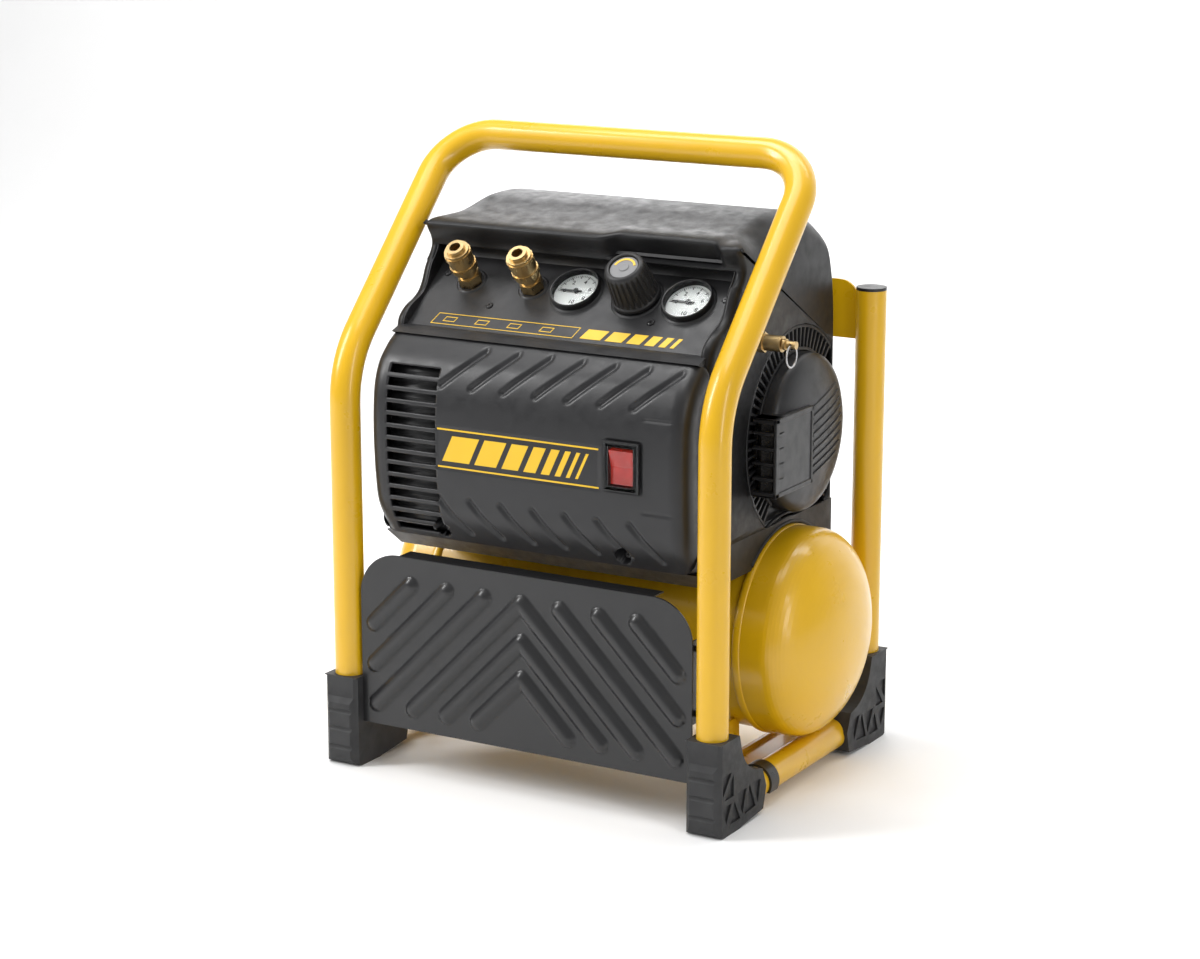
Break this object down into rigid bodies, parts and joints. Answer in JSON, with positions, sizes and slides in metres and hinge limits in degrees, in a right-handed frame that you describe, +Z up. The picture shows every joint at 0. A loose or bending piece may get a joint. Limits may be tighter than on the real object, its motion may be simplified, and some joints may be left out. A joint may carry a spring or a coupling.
{
  "type": "portable air compressor",
  "caption": "Portable air compressor: horizontal air tank, shrouded oil-free pump and motor, sloping gauge and coupler panel, all inside a bent-tube roll cage with rubber feet.",
  "frame": {"origin": "under the middle of the object, on the floor it stands on", "axes": "+X to the object's right as seen from the front, along the tank axis; +Y to the back; +Z up"},
  "size_m": [0.496, 0.3644, 0.6172],
  "materials": {
    "cage_paint": "gloss powder coat",
    "black_plastic": "satin",
    "foot_rubber": "matte, moulded",
    "guard_paint": "satin powder coat",
    "steel": "machined",
    "brass": "machined, polished",
    "cast_aluminium": "as cast",
    "copper": "drawn, slightly dull",
    "filter_foam": "open foam",
    "capacitor_shell": "gloss",
    "dial_white": "matt printed",
    "clear_lens": "clear",
    "needle_black": "matt",
    "rocker_red": "translucent gloss",
    "shroud_plastic": "fine moulded texture, satin",
    "panel_plastic": "satin",
    "dark_plastic": "satin"
  },
  "bodies": {
    "frame": {"cage_tube": "cage_paint", "tube_end_plugs": "black_plastic", "foot_front_left": "foot_rubber", "foot_front_right": "foot_rubber", "foot_rear_left": "foot_rubber", "foot_rear_right": "foot_rubber", "front_guard": "guard_paint", "guard_fixings": "steel", "rear_cross_plate": "cage_paint", "tank_shell": "cage_paint", "tank_heads": "cage_paint", "tank_brackets": "cage_paint", "tank_bungs": "cage_paint", "check_valve": "brass", "pump_platform": "guard_paint", "rubber_mounts": "foot_rubber", "motor_stator": "guard_paint", "stator_windings": "copper", "shaft_bearings": "steel", "motor_end_bracket": "cast_aluminium", "crankcase": "cast_aluminium", "pump_cylinder": "cast_aluminium", "cylinder_head": "cast_aluminium", "air_pipes": "copper", "air_filter": "filter_foam", "capacitor": "capacitor_shell", "pressure_switch": "black_plastic", "manifold": "cast_aluminium", "regulator_body": "brass", "regulator_spring": "steel", "gauge_cases": "black_plastic", "gauge_dials": "dial_white", "gauge_lenses": "clear_lens", "coupler_bodies": "brass", "safety_valve_body": "brass", "switch_housing": "black_plastic", "switch_cover": "clear_lens", "front_cover": "shroud_plastic", "control_panel": "panel_plastic", "rear_hood": "shroud_plastic", "side_grilles": "dark_plastic", "pump_end_cover": "shroud_plastic", "fan_cover": "shroud_plastic", "lower_pan": "dark_plastic", "cable_gland": "black_plastic"},
    "crankshaft": {"motor_rotor": "steel", "motor_shaft": "steel", "cooling_fan": "black_plastic", "crank_eccentric": "steel"},
    "piston": {"piston_rod": "cast_aluminium"},
    "regulator_knob": {"regulator_knob": "black_plastic"},
    "regulator_screw": {"regulator_screw": "steel"},
    "switch_rocker": {"switch_rocker": "rocker_red"},
    "needle_left": {"gauge_needle_left": "needle_black"},
    "needle_right": {"gauge_needle_right": "needle_black"},
    "sleeve_left": {"coupler_sleeve_left": "brass"},
    "sleeve_right": {"coupler_sleeve_right": "brass"},
    "relief_stem": {"safety_valve_stem": "brass"},
    "relief_ring": {"safety_valve_ring": "steel"},
    "drain_knob": {"drain_valve_knob": "brass"}
  },
  "joints": [
    {"name": "motor_spin", "type": "hinge", "parent": "frame", "child": "crankshaft", "pos_m": [0, 0.058, 0.333], "axis": [1, 0, 0], "continuous": true},
    {"name": "piston_stroke", "type": "slide", "parent": "frame", "child": "piston", "axis": [0, 0, -1], "range_m": [0, 0.024]},
    {"name": "regulator_turn", "type": "hinge", "parent": "frame", "child": "regulator_knob", "pos_m": [0.065, -0.06214, 0.47117], "axis": [0, 0.6157, -0.788], "range_deg": [0, 720]},
    {"name": "regulator_feed", "type": "slide", "parent": "regulator_knob", "child": "regulator_screw", "axis": [0, 0.6157, -0.788], "range_m": [0, 0.0031]},
    {"name": "switch_rock", "type": "hinge", "parent": "frame", "child": "switch_rocker", "pos_m": [0.1085, -0.158, 0.3355], "axis": [-1, 0, 0], "range_deg": [0, 16]},
    {"name": "gauge_left_turn", "type": "hinge", "parent": "frame", "child": "needle_left", "pos_m": [-0.001, -0.06214, 0.47117], "axis": [0, 0.6157, -0.788], "range_deg": [0, 270], "stiffness_Nm_per_rad": 0.0001},
    {"name": "gauge_right_turn", "type": "hinge", "parent": "frame", "child": "needle_right", "pos_m": [0.12, -0.06214, 0.47117], "axis": [0, 0.6157, -0.788], "range_deg": [0, 270], "stiffness_Nm_per_rad": 0.0001},
    {"name": "sleeve_left_slide", "type": "slide", "parent": "frame", "child": "sleeve_left", "axis": [0, 0.6157, -0.788], "range_m": [0, 0.005], "stiffness_N_per_m": 600, "springref_m": -0.003},
    {"name": "sleeve_right_slide", "type": "slide", "parent": "frame", "child": "sleeve_right", "axis": [0, 0.6157, -0.788], "range_m": [0, 0.005], "stiffness_N_per_m": 600, "springref_m": -0.003},
    {"name": "relief_pull", "type": "slide", "parent": "frame", "child": "relief_stem", "axis": [1, 0, 0], "range_m": [0, 0.004], "stiffness_N_per_m": 900, "springref_m": -0.003},
    {"name": "relief_ring_swing", "type": "hinge", "parent": "relief_stem", "child": "relief_ring", "pos_m": [0.213, -0.03505, 0.4365], "axis": [0, 1, 0], "range_deg": [-60, 60]},
    {"name": "drain_turn", "type": "hinge", "parent": "frame", "child": "drain_knob", "pos_m": [0.11, 0.03885, 0.02], "axis": [0, 0, 1], "range_deg": [0, 360]}
  ],
  "couplings": [
    {"joint": "regulator_feed", "follows": "regulator_turn", "m_per_rad": 0.00023873}
  ]
}
